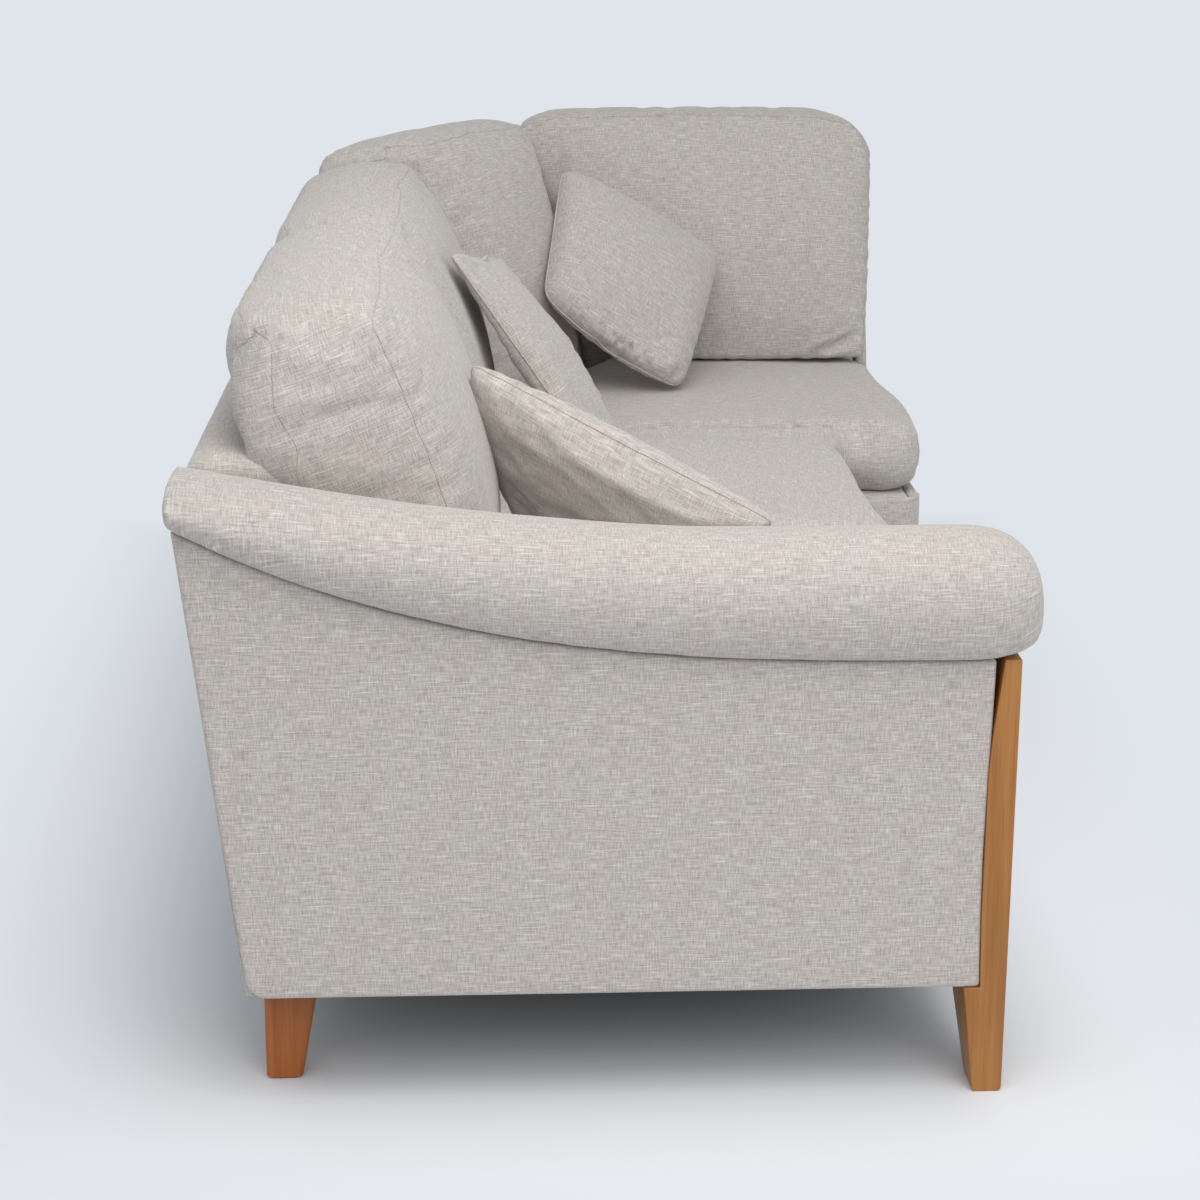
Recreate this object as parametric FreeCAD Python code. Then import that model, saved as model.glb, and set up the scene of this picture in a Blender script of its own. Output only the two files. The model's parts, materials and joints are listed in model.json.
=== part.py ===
import FreeCAD, Part
import math
import os

# Corner sofa in two units: a two-seat run with one scroll arm, and a corner unit with an
# open end. Millimetres, +Z up. Sizes below are measured from the near back line (x), the
# outer face of the arm (y) and the floor (z); the finished part is centred on its box.

Vector = FreeCAD.Vector

# Plan
run_length = 1345.0        # arm face to the joint between the units
run_depth = 880.0          # near back line to the front border
corner_depth = 855.0       # joint to the far back line
corner_width = 1013.0      # near back line to the open end
turn_run = 191.0           # joint to where the near back turns
turn_angle = 30.0          # first turn of the back, the second makes up 90

# Heights
leg_height = 125.0         # floor to the lower edge of the covers
deck_height = 350.0        # top of the seat deck
back_height = 700.0        # top of the back roll
arm_height = 636.0         # top of the arm roll
arm_rear_height = 706.0    # arm roll where it meets the back
seat_thickness = 110.0     # seat cushion at its edge
seat_crown = 8.0

# Back section, as distances in from the outer back line
outer_rake = 0.109
inner_rake = 0.368
back_top_depth = 125.0
cover_thickness = 9.0
pad_thickness = 35.0
roll_height = 50.0
roll_rear_radius = 28.0
roll_front_round = 38.0    # where the front of the roll starts to round

# Timber
rail_thickness = 25.0
deck_pad = 23.0            # padding over the seat webbing
frame_gap = 5.0            # covers reach this far below the frame
centre_rail_drop = 40.0
sill_height = 70.0
rib_thickness = 20.0
rib_border = 32.0          # left around the hole in a rib
rib_inset = 70.0
board_thickness = 18.0
block_leg = 110.0
block_height = 40.0
bolt_inset = 13.0          # leg bolts in from the rails
leg_set_in = 44.0          # and further in from the ends of each unit
seat_tuck = 14.0           # seat frame reaches this far behind the face of the back

# Webbing, bolts and lining
strap_thickness = 2.0
seat_strap_width = 60.0
back_strap_width = 50.0
seat_strap_pitch = 150.0
back_strap_count = 4
bolt_diameter = 8.0
bolt_head_width = 16.0
bolt_head_height = 6.0
bolt_clearance = 0.6
leg_bolt_length = 80.0
lining_thickness = 1.5

# Arm
arm_thickness = 110.0
arm_overhang = 30.0        # roll past the outer panel
arm_inner_overhang = 20.0
arm_nose = 40.0            # roll past the front border
arm_roll_front = 134.0     # depth of the roll at the front
arm_roll_rear = 50.0       # and at the back
arm_panel_thickness = 12.0
arm_board_thickness = 20.0
arm_upright_width = 60.0
panel_corner = 26.0
arm_stations = 14
arm_under_power = 3.0      # how late the underside sweeps up to the back
nose_length = 60.0
nose_steps = 4
nose_blunt = 0.6           # of a step, left flat at the tip
nose_tuck = 0.5            # rise of the underside, as a share of the top's fall
nose_squeeze = 0.8         # and of the sides
arm_tuck = 8.0             # least step from the roll's side to its flat underside
arm_waist = 0.45           # height of the widest line in the roll
arm_sweep = 572.0          # length over which the top rises to the back
arm_sweep_power = 1.5

# Show wood
post_front_gap = 17.0      # roll and border stand this far past the post
post_depth = 30.0
post_waist = 4.0           # hollow of the back edge of the post
post_top_set = 12.0        # the back edge's top stands this far forward
post_toe_set = 2.0
foot_depth = 48.0
foot_end_depth = 33.0
foot_end_width = 52.0
foot_round = 6.0
leg_top = 64.0
leg_foot = 41.0
leg_round = 7.0

# Borders
border_thickness = 20.0
border_round = 16.0
end_corner_radius = 48.0

# Loose cushions
seat_nose = 22.0
seat_gap = 3.0
rest_gap = 0.4             # soft pieces rest this far off what carries them
back_cushion_rise = 380.0  # near back cushions, seat to the rear seam
back_cushion_top = 147.0   # line of the back to the front seam
back_cushion_foot = 133.0  # depth at the seat
back_cushion_tilt = 20.0   # front seam above the rear one
back_cushion_belly = 40.0
back_cushion_end_belly = 14.0
back_cushion_crown = 15.0
back_cushion_draw = 7.0    # seams pull in at mid width
back_cushion_lap = 46.0    # swell over the back roll
back_cushion_end_lap = 4.0 # and at the seams of its ends
lap_rise = 0.3             # below 1 the swell fills out close to the ends
back_cushion_knee = 6.0    # the swell starts this far above the roll
rear_seam_out = 16.0       # rear seam out from the line of the back at mid width
rear_seam_set = 24.0       # and in from it at the ends
near_corner_drop = 26.0    # how far the top corners of a cushion round down
far_corner_drop = 62.0
corner_shrink = 14.0       # and back
arm_clearance = 22.0       # arm roll to the first back cushion
cushion_gap = 8.0          # between back cushions where the back turns
diagonal_rise = 404.0
far_rise = 400.0
pillow_edge = 7.0
pillow_draw = 0.05
pillow_thickness = 96.0
pillow_full = 0.7          # how quickly a pillow fills out from its edge
edge_drop = 8.0            # seat cushions fall this far at their ends
end_round = 30.0           # corner seat's open end rounds in plan by this much
end_steps = (0.0, 30.0, 55.0, 75.0)
end_full = 0.6             # below 1 the open end is squarer than a half round
diagonal_far_gap = 222.0   # diagonal cushion to the second turn of the back
far_taper = 0.4            # slant of that end in plan
far_lead = 126.0           # far cushion's near end, back from its slant line
far_slant = 1.6            # slant of that end, against the rake of the back
far_end_inset = 1.0        # far cushion in from the open end
far_end_slant = 0.045      # that end draws in towards the seat

far_line = run_length + corner_depth
turn_start = run_length + turn_run
turn = math.radians(turn_angle)
turn_x = (far_line - turn_start) * math.tan(turn)
frame_bottom = leg_height + frame_gap
rail_top = deck_height - deck_pad - strap_thickness
roll_bottom = back_height - roll_height
strap_top = rail_top + strap_thickness
seat_bottom = deck_height + rest_gap
seat_top = seat_bottom + seat_thickness
seat_peak = seat_top + seat_crown
corner_share = 1.0 - math.sqrt(0.5)

parts = {}


def outer(z):
    return (back_height - z) * outer_rake


def inner(z):
    return back_top_depth + (back_height - z) * inner_rake


# Back line to the rail behind the seat
seat_back_line = inner(deck_height) - seat_tuck


# Each stretch of the back has a start, a direction along it and a direction inwards.
class Stretch:
    def __init__(self, start, heading):
        self.start = start
        self.along = Vector(math.sin(heading), math.cos(heading), 0)
        self.inward = Vector(math.cos(heading), -math.sin(heading), 0)

    def at(self, s, d, z):
        return self.start + self.along * s + self.inward * d + Vector(0, 0, z)


near = Stretch(Vector(0, 0, 0), 0.0)
diagonal = Stretch(Vector(0, turn_start, 0), turn)
far = Stretch(Vector(turn_x, far_line, 0), math.pi / 2)
stretches = [near, diagonal, far]
diagonal_length = (far.start - diagonal.start).Length
far_length = corner_width - turn_x


def mitre(index, d):
    before = stretches[index].inward
    after = stretches[index + 1].inward
    reach = (before + after) * (d / (1.0 + before.dot(after)))
    return stretches[index + 1].start + reach


def polygon_prism(points, z0, z1):
    base = [Vector(p[0], p[1], z0) for p in points]
    face = Part.Face(Part.makePolygon(base + base[:1]))
    return face.extrude(Vector(0, 0, z1 - z0))


def box(x0, x1, y0, y1, z0, z1):
    return Part.makeBox(x1 - x0, y1 - y0, z1 - z0, Vector(x0, y0, z0))


def quarter_point(a, b, corner):
    return corner + (a + b - corner * 2) * corner_share


# Middle of the arc that touches both sides of a corner at a and b.
def round_point(a, b, corner):
    half = (a - corner).getAngle(b - corner) / 2.0
    radius = (a - corner).Length * math.tan(half)
    bisector = ((a - corner) + (b - corner)).normalize()
    return corner + bisector * (radius / math.sin(half) - radius)


def path_wire(start, steps):
    edges = []
    here = start
    for step in steps:
        if len(step) == 2:
            edges.append(Part.Arc(here, step[0], step[1]).toShape())
        else:
            edges.append(Part.LineSegment(here, step[0]).toShape())
        here = step[-1]
    return Part.Wire(edges)


# Plan wedge of one stretch, between its mitres.
def wedge(index):
    reach_out = -inner(leg_height)
    reach_in = inner(leg_height)
    if index == 0:
        first = [near.at(-run_length, reach_out, 0), near.at(-run_length, reach_in, 0)]
    else:
        first = [mitre(index - 1, reach_out), mitre(index - 1, reach_in)]
    if index == 2:
        last = [far.at(2 * far_length, reach_in, 0), far.at(2 * far_length, reach_out, 0)]
    else:
        last = [mitre(index, reach_in), mitre(index, reach_out)]
    return polygon_prism(first + last, 0, 2 * back_height)


wedges = [wedge(i) for i in range(3)]


# A piece of constant section (distance in, height) along one stretch.
def along(index, steps, s0, s1, mitred):
    stretch = stretches[index]
    points = [[stretch.at(s0, d, z) for d, z in step] for step in steps]
    face = Part.Face(path_wire(points[-1][-1], points))
    solid = face.extrude(stretch.along * (s1 - s0))
    return solid.common(wedges[index]).Solids[0] if mitred else solid


def straight(points):
    return [[p] for p in points]


def raked_strip(d_low, d_high, z0, z1):
    return straight([(d_low(z0), z0), (d_high(z0), z0), (d_high(z1), z1), (d_low(z1), z1)])


def cover_section():
    return raked_strip(outer, lambda z: outer(z) + cover_thickness, leg_height, roll_bottom)


def pad_section():
    return raked_strip(lambda z: inner(z) - pad_thickness, inner, deck_height, roll_bottom)


def sill_section():
    return raked_strip(lambda z: outer(z) + cover_thickness,
                       lambda z: outer(z) + cover_thickness + rail_thickness,
                       frame_bottom, frame_bottom + sill_height)


def strap_section(z):
    return raked_strip(lambda h: inner(h) - pad_thickness - strap_thickness,
                       lambda h: inner(h) - pad_thickness, z, z + back_strap_width)


def top_board_section():
    return raked_strip(lambda z: outer(z) + cover_thickness,
                       lambda z: inner(z) - pad_thickness - strap_thickness,
                       roll_bottom - board_thickness, roll_bottom)


def roll_section():
    rear_low = Vector(outer(back_height - roll_rear_radius), back_height - roll_rear_radius)
    rear_top = Vector(roll_rear_radius + outer(back_height), back_height)
    front_corner = Vector(inner(back_height), back_height)
    front_top = Vector(front_corner.x - roll_front_round, back_height)
    down_front = Vector(inner_rake, -1.0).normalize()
    front_low = front_corner + down_front * roll_front_round
    rear_mid = quarter_point(rear_low, rear_top, Vector(rear_low.x, back_height))
    front_mid = round_point(front_top, front_low, front_corner)
    return [[(outer(roll_bottom), roll_bottom)],
            [(rear_low.x, rear_low.y)],
            [(rear_mid.x, rear_mid.y), (rear_top.x, rear_top.y)],
            [(front_top.x, front_top.y)],
            [(front_mid.x, front_mid.y), (front_low.x, front_low.y)],
            [(inner(roll_bottom), roll_bottom)]]


sill_front = outer(frame_bottom) + cover_thickness + rail_thickness


# Plywood rib, notched over the sill, with a lightening hole that follows its rakes.
def rib(index, s):
    sill_top = frame_bottom + sill_height
    top = roll_bottom - board_thickness
    rib_foot = frame_bottom + block_height
    face_line = pad_thickness + strap_thickness
    waist = back_height - (seat_back_line + face_line - back_top_depth) / inner_rake
    outline = straight([(outer(sill_top) + cover_thickness, sill_top),
                        (sill_front, sill_top),
                        (sill_front, rib_foot),
                        (seat_back_line, rib_foot),
                        (seat_back_line, waist),
                        (inner(top) - face_line, top),
                        (outer(top) + cover_thickness, top)])
    plate = along(index, outline, s, s + rib_thickness, False)
    opening = raked_strip(lambda z: outer(z) + cover_thickness + rib_border,
                          lambda z: inner(z) - face_line - rib_border,
                          rail_top + rib_border, top - rib_border)
    return plate.cut(along(index, opening, s - rib_thickness, s + 2 * rib_thickness, False))


# The back of both units
rib_limit = seat_back_line * math.tan((math.pi / 2 - turn) / 2.0)
end_line = far_length - border_thickness
arm_inner = arm_thickness + arm_inner_overhang
near_ribs = [arm_inner, run_length / 2.0, run_length - rib_thickness, run_length]
diagonal_ribs = [rib_inset, diagonal_length - rib_limit - rib_thickness]
far_ribs = [rib_limit, end_line - rib_thickness]
rib_places = [(0, s) for s in near_ribs]
rib_places += [(1, s) for s in diagonal_ribs]
rib_places += [(2, s) for s in far_ribs]
parts["back_ribs"] = Part.makeCompound([rib(i, s) for i, s in rib_places])

run_span = (0, arm_panel_thickness, run_length, False)
roll_start = arm_inner + rest_gap
overrun = turn_start
corner_spans = [("side", (0, run_length, turn_start + overrun, True)),
                ("diagonal", (1, -overrun, diagonal_length + overrun, True)),
                ("far", (2, -overrun, end_line, True))]


def back_strip(section, span):
    index, s0, s1, mitred = span
    return along(index, section, s0, s1, mitred)


parts["run_outside_back"] = back_strip(cover_section(), run_span)
parts["run_inside_back"] = back_strip(pad_section(), (0, arm_thickness, run_length, False))
parts["run_back_roll"] = back_strip(roll_section(), (0, roll_start, run_length, False))
for label, span in corner_spans:
    parts["corner_%s_outside_back" % label] = back_strip(cover_section(), span)
    parts["corner_%s_inside_back" % label] = back_strip(pad_section(), span)
    parts["corner_%s_back_roll" % label] = back_strip(roll_section(), span)

all_spans = [run_span] + [span for _, span in corner_spans]
parts["back_sills"] = Part.makeCompound([back_strip(sill_section(), s) for s in all_spans])
board_spans = [(0, roll_start, run_length, False)] + [span for _, span in corner_spans]
parts["back_top_boards"] = Part.makeCompound(
    [back_strip(top_board_section(), s) for s in board_spans])
strap_span = roll_bottom - board_thickness - back_strap_width - deck_height
strap_heights = [deck_height + strap_span * (i + 0.5) / back_strap_count
                 for i in range(back_strap_count)]
parts["back_webbing"] = Part.makeCompound(
    [back_strip(strap_section(z), s) for s in board_spans for z in strap_heights])


# Seat frames
front_inner = run_depth - border_thickness
rail_back = seat_back_line + rail_thickness
end_inner = corner_width - border_thickness

parts["run_front_rail"] = box(front_inner - rail_thickness, front_inner, arm_panel_thickness,
                              run_length, frame_bottom, rail_top)
parts["run_seat_back_rail"] = box(seat_back_line, rail_back, arm_panel_thickness + rail_thickness,
                                  run_length - rail_thickness, frame_bottom, rail_top)
parts["arm_side_rail"] = box(sill_front, front_inner - rail_thickness, arm_panel_thickness,
                             arm_panel_thickness + rail_thickness, frame_bottom, rail_top)
parts["run_joint_rail"] = box(seat_back_line, front_inner - rail_thickness,
                              run_length - rail_thickness, run_length, frame_bottom, rail_top)
centre_y = (arm_thickness + run_length - rail_thickness) / 2.0
parts["run_centre_rail"] = box(rail_back, front_inner - rail_thickness, centre_y,
                               centre_y + rail_thickness, frame_bottom,
                               rail_top - centre_rail_drop)
parts["corner_front_rail"] = box(seat_back_line + rail_thickness, end_inner, run_length,
                                 run_length + rail_thickness, frame_bottom, rail_top)
parts["corner_end_rail"] = box(end_inner - rail_thickness, end_inner, run_length + rail_thickness,
                               far_line - rail_back, frame_bottom, rail_top)


def seat_rail(span):
    section = straight([(seat_back_line, frame_bottom), (rail_back, frame_bottom),
                        (rail_back, rail_top), (seat_back_line, rail_top)])
    return back_strip(section, span)


parts["corner_seat_rails"] = Part.makeCompound([seat_rail(span) for _, span in corner_spans])


# Seat webbing, from the front rail to the rail behind the seat
def seat_limit(x, d):
    return min(far_line - d, turn_start + x / math.tan(turn) - d / math.sin(turn))


def spread(start, end, width, pitch):
    count = int((end - start - width) // pitch) + 1
    first = (start + end - width - pitch * (count - 1)) / 2.0
    return [first + pitch * i for i in range(count)]


straps = []
for y in spread(arm_thickness, run_length - rail_thickness, seat_strap_width, seat_strap_pitch):
    straps.append(box(seat_back_line, front_inner, y, y + seat_strap_width, rail_top, strap_top))
strap_low = rail_back + rail_thickness
for x in spread(strap_low, end_inner - rail_thickness, seat_strap_width, seat_strap_pitch):
    corners = [(x, run_length), (x + seat_strap_width, run_length),
               (x + seat_strap_width, seat_limit(x + seat_strap_width, seat_back_line)),
               (x, seat_limit(x, seat_back_line))]
    straps.append(polygon_prism(corners, rail_top, strap_top))
parts["seat_webbing"] = Part.makeCompound(straps)

# Padded decks
parts["run_deck"] = box(seat_back_line, front_inner, arm_thickness, run_length,
                        strap_top, deck_height)
deck_corners = [(seat_back_line, run_length), (end_inner, run_length),
                (end_inner, far_line - seat_back_line)]
deck_corners += [tuple(mitre(1, seat_back_line))[:2], tuple(mitre(0, seat_back_line))[:2]]
parts["corner_deck"] = polygon_prism(deck_corners, strap_top, deck_height)


# Borders
def front_border():
    top = Vector(front_inner, 0, deck_height)
    round_start = Vector(run_depth - border_round, 0, deck_height)
    round_end = Vector(run_depth, 0, deck_height - border_round)
    round_mid = quarter_point(round_start, round_end, Vector(run_depth, 0, deck_height))
    steps = [[round_start], [round_mid, round_end], [Vector(run_depth, 0, leg_height)],
             [Vector(front_inner, 0, leg_height)], [top]]
    face = Part.Face(path_wire(top, steps))
    face.translate(Vector(0, arm_thickness, 0))
    return face.extrude(Vector(0, run_length - border_thickness - arm_thickness, 0))


def corner_border():
    front = run_length - border_thickness
    bend = front + end_corner_radius
    side = corner_width - end_corner_radius
    bend_out = quarter_point(Vector(side, front), Vector(corner_width, bend),
                             Vector(corner_width, front))
    start = Vector(front_inner, front)
    steps = [[Vector(side, front)], [bend_out, Vector(corner_width, bend)],
             [Vector(end_inner, bend)], [Vector(end_inner, run_length)],
             [Vector(front_inner, run_length)], [start]]
    face = Part.Face(path_wire(start, steps))
    face.translate(Vector(0, 0, leg_height))
    return face.extrude(Vector(0, 0, deck_height - leg_height))


parts["run_front_border"] = front_border()
parts["corner_front_border"] = corner_border()
bend_end = run_length - border_thickness + end_corner_radius
parts["corner_end_border"] = box(end_inner, corner_width, bend_end, far_line - inner(deck_height),
                                 leg_height, deck_height)
end_outline = roll_section() + straight([(inner(deck_height), deck_height), (inner(deck_height), leg_height),
                         (outer(leg_height), leg_height)])
parts["corner_end_cover"] = along(2, end_outline, end_line, far_length, False)


# Arm: the lower edge of the roll sweeps up from the post to the back
under_front = arm_height - arm_roll_front
under_rear = arm_rear_height - arm_roll_rear
post_front = run_depth + post_front_gap
post_back = post_front - post_depth


def under(x):
    share = max(post_back - x, 0.0) / post_back
    return under_front + (under_rear - under_front) * share ** arm_under_power


def over(x):
    share = max(1.0 - x / arm_sweep, 0.0)
    return arm_height + (arm_rear_height - arm_height) * share ** arm_sweep_power


# A flat seat below and one smooth curve over the rest.
def arm_section(x, low, high, squeeze):
    y0 = -arm_overhang + squeeze
    y1 = arm_thickness + arm_inner_overhang - squeeze
    crest = (y0 + y1) / 2.0
    waist = low + arm_waist * (high - low)
    seat_out = max(0.0, y0 + arm_tuck)
    seat_in = min(arm_thickness, y1 - arm_tuck)
    points = []
    for degrees in range(-90, 271, 30):
        lean = math.radians(degrees)
        if degrees < 0:
            middle, reach, rise = seat_in, y1 - seat_in, waist - low
        elif degrees <= 180:
            middle, reach, rise = crest, y1 - crest, high - waist
        else:
            middle, reach, rise = seat_out, seat_out - y0, waist - low
        points.append(Vector(x, middle + reach * math.cos(lean), waist + rise * math.sin(lean)))
    curve = Part.BSplineCurve()
    curve.interpolate(points)
    return Part.Wire([Part.LineSegment(points[-1], points[0]).toShape(), curve.toShape()])


# Straight between stations along the arm, then the rounded nose.
def arm_roll():
    nose = run_depth + arm_nose
    body_end = run_depth - nose_length / 2.0
    stations = [body_end * i / arm_stations for i in range(arm_stations + 1)]
    sections = [arm_section(x, under(x), over(x), 0.0) for x in stations]
    reach = nose - body_end
    for turn_step in range(1, nose_steps + 1):
        lean = 0.5 * math.pi * turn_step / (nose_steps + nose_blunt)
        shrink = nose_length * (1.0 - math.cos(lean))
        x = body_end + reach * math.sin(lean) / math.sin(0.5 * math.pi * nose_steps
                                                         / (nose_steps + nose_blunt))
        sections.append(arm_section(x, under_front + nose_tuck * shrink, over(body_end) - shrink,
                                    nose_squeeze * shrink))
    return Part.makeLoft(sections, True, True)


parts["arm_roll"] = arm_roll()
roll_cutter = parts["arm_roll"].translated(Vector(0, 0, -rest_gap / 2.0))
side_cutter = parts["arm_roll"].translated(Vector(0, rest_gap / 2.0, 0))
parts["run_inside_back"] = parts["run_inside_back"].cut(roll_cutter).cut(side_cutter).Solids[0]
parts["run_outside_back"] = parts["run_outside_back"].cut(roll_cutter).Solids[0]


# Side outline of the outer panel, cut along the roll above it.
def arm_panel(y0, y1, x_rear_low, x_rear_high, z0, corner):
    low_rear = Vector(x_rear_low, y0, z0 + corner)
    low_front = Vector(x_rear_low + corner, y0, z0)
    low_mid = quarter_point(low_rear, low_front, Vector(x_rear_low, y0, z0))
    front_low = Vector(post_back, y0, z0)
    front_high = Vector(post_back + post_top_set, y0, arm_height)
    waist = Vector(post_back - post_waist / 2.0, y0, (z0 + under_front) / 2.0)
    start = Vector(x_rear_high, y0, under_rear)
    face = Part.Face(path_wire(start, [[low_rear], [low_mid, low_front], [front_low],
                                       [waist, front_high], [start]]))
    slab = face.extrude(Vector(0, y1 - y0, 0))
    pieces = slab.cut(roll_cutter).Solids
    return min(pieces, key=lambda s: s.CenterOfMass.z)


parts["arm_outside_panel"] = arm_panel(0.0, arm_panel_thickness,
                                       outer(leg_height), outer(under_rear), leg_height,
                                       panel_corner)
inside_rear = inner(deck_height)
parts["arm_inside_panel"] = arm_panel(arm_thickness - arm_panel_thickness, arm_thickness,
                                      inside_rear, inner(under_rear), deck_height, 1.0)


upright_front = (inside_rear + post_back) / 2.0 + arm_upright_width


def arm_board():
    y0 = arm_panel_thickness
    y1 = arm_thickness - arm_panel_thickness
    x0 = inside_rear
    x1 = post_back - post_waist
    level = [x0, (x0 + upright_front) / 2.0, upright_front, (upright_front + x1) / 2.0, x1]
    lower = [Vector(x, y0, under(x) - arm_board_thickness) for x in level]
    upper = [Vector(x1, y0, under(x1)), Vector(x0, y0, under(x0))]
    board = Part.Face(Part.makePolygon(lower + upper + lower[:1]))
    pieces = board.extrude(Vector(0, y1 - y0, 0)).cut(roll_cutter).Solids
    return min(pieces, key=lambda s: s.CenterOfMass.z)


parts["arm_top_board"] = arm_board()
parts["arm_upright"] = box(upright_front - arm_upright_width, upright_front, arm_panel_thickness,
                           arm_panel_thickness + rail_thickness, rail_top,
                           under(upright_front) - arm_board_thickness)


# Oak front post: hollow back edge above, tapered foot below
def front_post():
    top = under_front
    foot_back = post_front - foot_depth
    end_front = post_front - post_toe_set
    end_back = end_front - foot_end_depth
    back_low = Vector(post_back, 0, leg_height)
    back_high = Vector(post_back + post_top_set, 0, top)
    waist = Vector(post_back - post_waist, 0, (leg_height + top) / 2.0)
    toe = Vector(end_front, 0, 0)
    heel = Vector(end_back, 0, 0)
    toe_up = Vector(end_front, 0, foot_round)
    heel_up = Vector(end_back, 0, foot_round)
    toe_in = Vector(end_front - foot_round, 0, 0)
    heel_in = Vector(end_back + foot_round, 0, 0)
    start = Vector(post_front, 0, top)
    steps = [[Vector(post_front, 0, leg_height)], [toe_up],
             [quarter_point(toe_up, toe_in, toe), toe_in], [heel_in],
             [quarter_point(heel_in, heel_up, heel), heel_up],
             [Vector(foot_back, 0, leg_height)], [back_low], [waist, back_high], [start]]
    slab = Part.Face(path_wire(start, steps)).extrude(Vector(0, arm_thickness, 0))
    inner_y = arm_thickness
    taper = Part.Face(Part.makePolygon([Vector(0, foot_end_width, 0), Vector(0, inner_y + 1, 0),
                                        Vector(0, inner_y + 1, leg_height),
                                        Vector(0, inner_y, leg_height),
                                        Vector(0, foot_end_width, 0)]))
    return slab.cut(taper.extrude(Vector(2 * run_depth, 0, 0)))


post = front_post()
parts["arm_front_post"] = post.cut(roll_cutter).cut(parts["arm_outside_panel"]).Solids[0]
parts["arm_inside_panel"] = parts["arm_inside_panel"].cut(parts["arm_front_post"]).Solids[0]


# Legs, glue blocks and lining
def square(x0, y0, size, z, radius):
    x1 = x0 + size
    y1 = y0 + size
    points = [Vector(x0, y0, z), Vector(x1, y0, z), Vector(x1, y1, z), Vector(x0, y1, z)]
    steps = []
    for i, corner in enumerate(points):
        back = (points[i - 1] - corner).normalize() * radius
        ahead = (points[(i + 1) % 4] - corner).normalize() * radius
        steps.append([corner + back])
        steps.append([quarter_point(corner + back, corner + ahead, corner), corner + ahead])
    return path_wire(steps[-1][-1], steps)


lining_bottom = frame_bottom - lining_thickness
taper_in = leg_top - leg_foot


def leg(x, y, toward_x, toward_y):
    x0 = x if toward_x > 0 else x - leg_top
    y0 = y if toward_y > 0 else y - leg_top
    foot_x = x0 if toward_x > 0 else x0 + taper_in
    foot_y = y0 if toward_y > 0 else y0 + taper_in
    low = square(foot_x + leg_round / 2, foot_y + leg_round / 2, leg_foot - leg_round, 0,
                 leg_round)
    bend = square(foot_x, foot_y, leg_foot, leg_round / 2, leg_round)
    high = square(x0, y0, leg_top, lining_bottom, leg_round)
    return Part.makeLoft([low, bend, high], True, True)


sill_line = outer(lining_bottom) + cover_thickness
arm_rail_inner = arm_panel_thickness + rail_thickness
joint_near = run_length - rail_thickness
joint_far = run_length + rail_thickness
front_line = front_inner - rail_thickness
end_rail_line = end_inner - rail_thickness
far_sill = far_line - sill_front
bend_x = turn_x + rib_limit + rib_thickness

# name, corner of the glue block, direction into the frame
corners = [("leg_arm_rear", sill_front, arm_rail_inner, 1, 1),
           ("leg_run_rear", sill_front, joint_near, 1, -1),
           ("leg_run_front", front_line, joint_near, -1, -1),
           ("leg_corner_side", sill_front, joint_far, 1, 1),
           ("leg_corner_front", end_rail_line, joint_far, -1, 1),
           ("leg_corner_end", end_rail_line, far_sill, -1, -1),
           ("leg_corner_bend", bend_x, far_sill, 1, -1)]

blocks = []
bolts = []
bolt_holes = []
legs = {}
leg_inset = bolt_inset - leg_top / 2.0
for name, x, y, tx, ty in corners:
    triangle = [(x, y), (x + tx * block_leg, y), (x, y + ty * block_leg)]
    blocks.append(polygon_prism(triangle, frame_bottom, frame_bottom + block_height))
    bolt_y = y + ty * (bolt_inset + leg_set_in)
    centre = Vector(x + tx * bolt_inset, bolt_y, lining_bottom - leg_bolt_length / 2)
    bolts.append(Part.makeCylinder(bolt_diameter / 2, leg_bolt_length, centre))
    bolt_holes.append(Part.makeCylinder((bolt_diameter + bolt_clearance) / 2, leg_bolt_length,
                                        centre))
    legs[name] = leg(x + tx * leg_inset, y + ty * (leg_inset + leg_set_in), tx, ty)

run_lining = box(sill_line, front_inner, arm_panel_thickness, run_length,
                 lining_bottom, frame_bottom)
lining_corners = [(sill_line, run_length), (end_inner, run_length),
                  (end_inner, far_line - sill_line)]
lining_corners += [tuple(mitre(1, sill_line))[:2], tuple(mitre(0, sill_line))[:2]]
corner_lining = polygon_prism(lining_corners, lining_bottom, frame_bottom)
all_holes = Part.makeCompound(bolt_holes)
parts["glue_blocks"] = Part.makeCompound([b.cut(all_holes) for b in blocks])
parts["run_lining"] = run_lining.cut(all_holes)
parts["corner_lining"] = corner_lining.cut(all_holes)
for (name, *_), hole in zip(corners, bolt_holes):
    parts[name] = legs[name].cut(hole)
parts["leg_bolts"] = Part.makeCompound(bolts)


def hexagon(start, height):
    points = []
    for i in range(7):
        turned = math.radians(60.0 * i)
        points.append(start + Vector(math.cos(turned), 0, math.sin(turned)) * (bolt_head_width / 2))
    return Part.Face(Part.makePolygon(points)).extrude(Vector(0, height, 0))


# Bolts that hold the two units together, heads on one rail and nuts on the other
def unit_bolt(x, z):
    start = Vector(x, joint_near - bolt_head_height, z)
    way = Vector(0, 1, 0)
    head = hexagon(start, bolt_head_height)
    shank_start = start + way * bolt_head_height
    shank = Part.makeCylinder(bolt_diameter / 2, 2 * rail_thickness + 2 * bolt_head_height,
                              shank_start, way)
    nut_start = shank_start + way * (2 * rail_thickness)
    nut = hexagon(nut_start, bolt_head_height)
    hole = Part.makeCylinder((bolt_diameter + bolt_clearance) / 2, 2 * rail_thickness,
                             shank_start, way)
    bore = Part.makeCylinder((bolt_diameter + bolt_clearance) / 2, bolt_head_height, nut_start, way)
    return head.fuse(shank).removeSplitter(), nut.cut(bore), hole


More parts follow.
